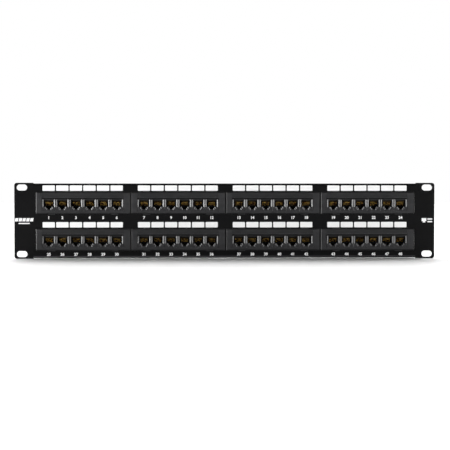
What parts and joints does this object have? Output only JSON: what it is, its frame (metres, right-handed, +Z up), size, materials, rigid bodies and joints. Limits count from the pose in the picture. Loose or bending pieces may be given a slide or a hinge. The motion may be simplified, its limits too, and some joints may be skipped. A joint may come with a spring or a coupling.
{
  "type": "patch panel",
  "caption": "Black rack-mount patch panel, two units high, with two rows of modular jacks, write-on label cells and wire blocks on the back.",
  "frame": {"origin": "centre of the four rack slots, on the mounting plane (the rear face of the ears)", "axes": "+X to the right seen from the front, +Z up, +Y into the rack"},
  "size_m": [0.4826, 0.0305, 0.087],
  "materials": {
    "powder_coated_steel": "fine satin powder coat",
    "moulded_black": "fine moulded texture",
    "jack_black": "semi-gloss moulding",
    "insert_black": "matt moulding",
    "gold_plated": "gold flash on phosphor bronze",
    "board_green": "solder mask on glass-epoxy board",
    "block_black": "moulded, satin",
    "tinned_bronze": "tin plated",
    "label_white": "write-on label",
    "code_label": "printed label, four pair colours",
    "plated_screw": "zinc plated"
  },
  "bodies": {
    "root": {"front_panel": "powder_coated_steel", "bezel_1": "moulded_black", "jacks_1": "jack_black", "contact_inserts_1": "insert_black", "jack_contacts_1": "gold_plated", "circuit_board_1": "board_green", "idc_blocks_1": "block_black", "idc_clips_1": "tinned_bronze", "bezel_2": "moulded_black", "jacks_2": "jack_black", "contact_inserts_2": "insert_black", "jack_contacts_2": "gold_plated", "circuit_board_2": "board_green", "idc_blocks_2": "block_black", "idc_clips_2": "tinned_bronze", "bezel_3": "moulded_black", "jacks_3": "jack_black", "contact_inserts_3": "insert_black", "jack_contacts_3": "gold_plated", "circuit_board_3": "board_green", "idc_blocks_3": "block_black", "idc_clips_3": "tinned_bronze", "bezel_4": "moulded_black", "jacks_4": "jack_black", "contact_inserts_4": "insert_black", "jack_contacts_4": "gold_plated", "circuit_board_4": "board_green", "idc_blocks_4": "block_black", "idc_clips_4": "tinned_bronze", "bezel_5": "moulded_black", "jacks_5": "jack_black", "contact_inserts_5": "insert_black", "jack_contacts_5": "gold_plated", "circuit_board_5": "board_green", "idc_blocks_5": "block_black", "idc_clips_5": "tinned_bronze", "bezel_6": "moulded_black", "jacks_6": "jack_black", "contact_inserts_6": "insert_black", "jack_contacts_6": "gold_plated", "circuit_board_6": "board_green", "idc_blocks_6": "block_black", "idc_clips_6": "tinned_bronze", "bezel_7": "moulded_black", "jacks_7": "jack_black", "contact_inserts_7": "insert_black", "jack_contacts_7": "gold_plated", "circuit_board_7": "board_green", "idc_blocks_7": "block_black", "idc_clips_7": "tinned_bronze", "bezel_8": "moulded_black", "jacks_8": "jack_black", "contact_inserts_8": "insert_black", "jack_contacts_8": "gold_plated", "circuit_board_8": "board_green", "idc_blocks_8": "block_black", "idc_clips_8": "tinned_bronze", "label_cells": "label_white", "idc_code_labels": "code_label", "board_screws": "plated_screw"}
  },
  "joints": []
}
